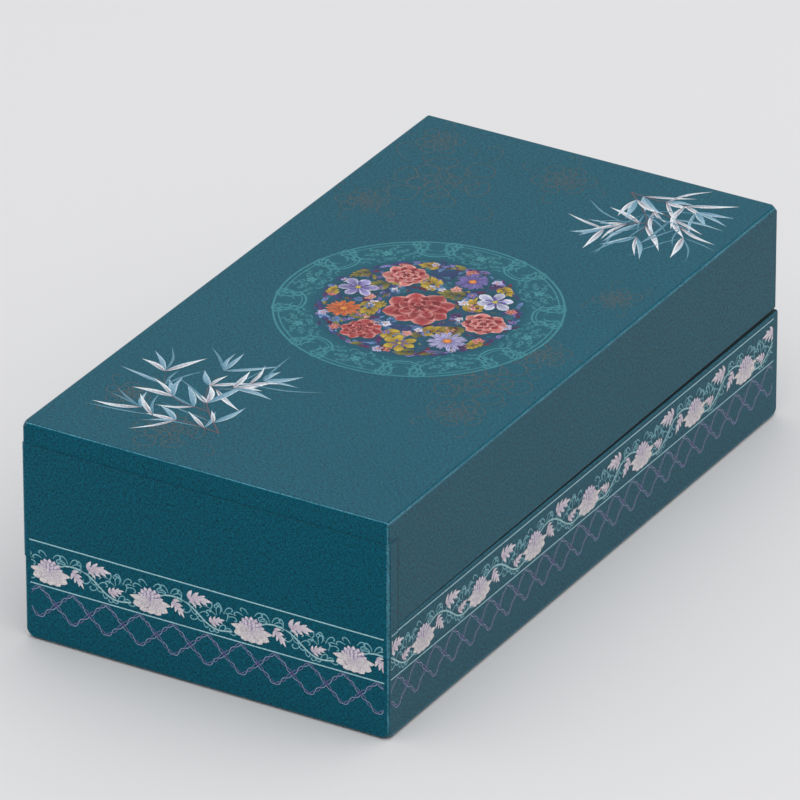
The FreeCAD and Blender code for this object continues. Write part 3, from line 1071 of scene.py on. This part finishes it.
def makeSprays():
    art = Print("lid_spray_print")
    for number, (middleX, middleY, scaleX, scaleY) in enumerate(spray["places"]):
        draw = Random(21 + number * 8)
        for line in sprayStems:
            points = [Vector((middleX + scaleX * x, middleY + scaleY * y)) for x, y in line]
            art.stroke(points, spray["twigWidth"], twigInks, steps=24, across=1, form=taper,
                       layer=1)
            for node, share in enumerate(spray["nodes"]):
                place, heading = alongLine(points, share)
                along = atan2(heading.y, heading.x)
                for leaf, fan in enumerate(spray["fans"][:3 + node % 2]):
                    sprayLeaf(art, place, along + fan, 1.0 if leaf < 2 else 0.8,
                              2 + (leaf + node) % 3, draw)
    trimToLid(art)
    layOnLid(art, "sprays")


faintInks = pen(ink(112, 88, 66, 0.56), ink(102, 88, 74, 0.42))
faintPlaces = (  # middle, size
    (108, 47, 25), (139, 66, 12), (77, 66, 12), (134, 4, 14), (-37, -55, 22), (-6, -66, 13),
    (-66, -62, 13), (-136, 30, 17), (-118, 60, 11), (52, -68, 10))
faintRings = (  # petals, start, end, half width
    (6, 0.42, 1.0, 0.27), (5, 0.2, 0.66, 0.2), (5, 0.06, 0.36, 0.1))
faintWidths = dict(outline=0.5, vein=0.28, curl=0.4)


def makeFaintBlossoms():
    art = Print("lid_faint_print")
    draw = Random(9)
    for x, y, size in faintPlaces:
        middle = Vector((x, y))
        turn = draw.uniform(0, 1.2)
        for ring, (count, start, end, spread) in enumerate(faintRings):
            for index in range(count):
                angle = turn + ring * 0.5 + 2 * pi * index / count + draw.uniform(-0.12, 0.12)
                reach = end * draw.uniform(0.85, 1.05)
                way = Vector((cos(angle), sin(angle))) * size
                root = middle + way * start
                waist = middle + way * (start + reach) / 2
                for hand in (-1, 1):
                    side = Vector((-way.y, way.x)) * hand * spread
                    art.stroke([root, waist + side, middle + way * reach * 0.9 + side * 0.8,
                                middle + way * reach], faintWidths["outline"], faintInks,
                               steps=10, across=1)
                art.stroke([root, waist], faintWidths["vein"], faintInks, steps=3, across=1)
        for index in range(4):
            angle = turn + 0.6 + 1.6 * index
            art.curl((x + cos(angle) * size, y + sin(angle) * size), angle, size * 0.17,
                     1 if index % 2 else -1, faintWidths["curl"], faintInks)
    trimToLid(art)
    layOnLid(art, "faint")


makeHingeStrip()
makeBorders()
makeLeafShadowLines()
print("border printed")
makeRing()
makePicture()
makeSprays()
makeFaintBlossoms()
print("lid printed")


# camera, floor and light

shot = dict(
    heading=30.487,  # degrees from +X
    drop=27.933,  # degrees below the horizon
    roll=-0.087,
    distance=4467.4,  # millimetres
    lookAt=(0, 0, 49.0),
    aside=(3.34, -7.27),
    lens=493.16,
)


def makeCamera():
    heading = radians(shot["heading"])
    drop = radians(shot["drop"])
    roll = radians(shot["roll"])
    ahead = Vector((cos(drop) * cos(heading), cos(drop) * sin(heading), -sin(drop)))
    level = ahead.cross(Vector((0, 0, 1))).normalized()
    upward = level.cross(ahead)
    right = level * cos(roll) + upward * sin(roll)
    top = upward * cos(roll) - level * sin(roll)
    aside = shot["aside"]
    place = Vector(shot["lookAt"]) - right * aside[0] - top * aside[1]
    place = (place - ahead * shot["distance"]) * mm
    camera = bpy.data.objects.new("camera", bpy.data.cameras.new("camera"))
    camera.data.lens = shot["lens"]
    camera.data.sensor_width = 36.0
    camera.data.clip_start = 0.1
    camera.data.clip_end = 60.0
    turned = Matrix((right, top, -ahead)).transposed().to_4x4()
    camera.matrix_world = Matrix.Translation(place) @ turned
    scene.collection.objects.link(camera)
    scene.camera = camera


studio = dict(
    floorColour=linear(222, 222, 223),
    floorHalf=20.0,  # metres
    skyStrength=0.75,
    skyColour=(0.98, 0.98, 0.99, 1.0),
    aim=(0, 0, 0.05),
    lamps=(  # name, place, size in metres, watts
        ("overhead", (-0.3, -0.45, 2.0), (3.0, 3.0), 22.0),
        ("frontFill", (1.6, -1.6, 1.5), (2.0, 2.0), 3.0),
        ("backFill", (2.6, 1.5, 1.5), (1.8, 1.4), 4.5),
    ),
)


def makeFloor():
    bm = bmesh.new()
    bmesh.ops.create_grid(bm, x_segments=4, y_segments=4, size=studio["floorHalf"])
    recipe = Recipe("floorPaper")
    paper = recipe.finish({
        "Base Color": studio["floorColour"], "Roughness": 0.9, "Specular IOR Level": 0.1})
    floor = addMesh("floor", bm, paper)


def makeLamp(name, place, size, power):
    lamp = bpy.data.lights.new(name, "AREA")
    lamp.shape = "RECTANGLE"
    lamp.size, lamp.size_y = size
    lamp.energy = power
    holder = bpy.data.objects.new(name, lamp)
    holder.location = place
    holder.rotation_mode = "QUATERNION"
    holder.rotation_quaternion = (Vector(studio["aim"]) - Vector(place)).to_track_quat("-Z", "Y")
    scene.collection.objects.link(holder)


def makeLight():
    world = bpy.data.worlds.new("studio")
    scene.world = world
    world.use_nodes = True
    tree = world.node_tree
    tree.nodes.clear()
    background = tree.nodes.new("ShaderNodeBackground")
    background.inputs[0].default_value = studio["skyColour"]
    background.inputs[1].default_value = studio["skyStrength"]
    out = tree.nodes.new("ShaderNodeOutputWorld")
    tree.links.new(background.outputs[0], out.inputs[0])
    for name, place, size, power in studio["lamps"]:
        makeLamp(name, place, size, power)


makeCamera()
makeFloor()
makeLight()
view = scene.view_settings
view.view_transform = "Standard"
print("camera, floor and light set")
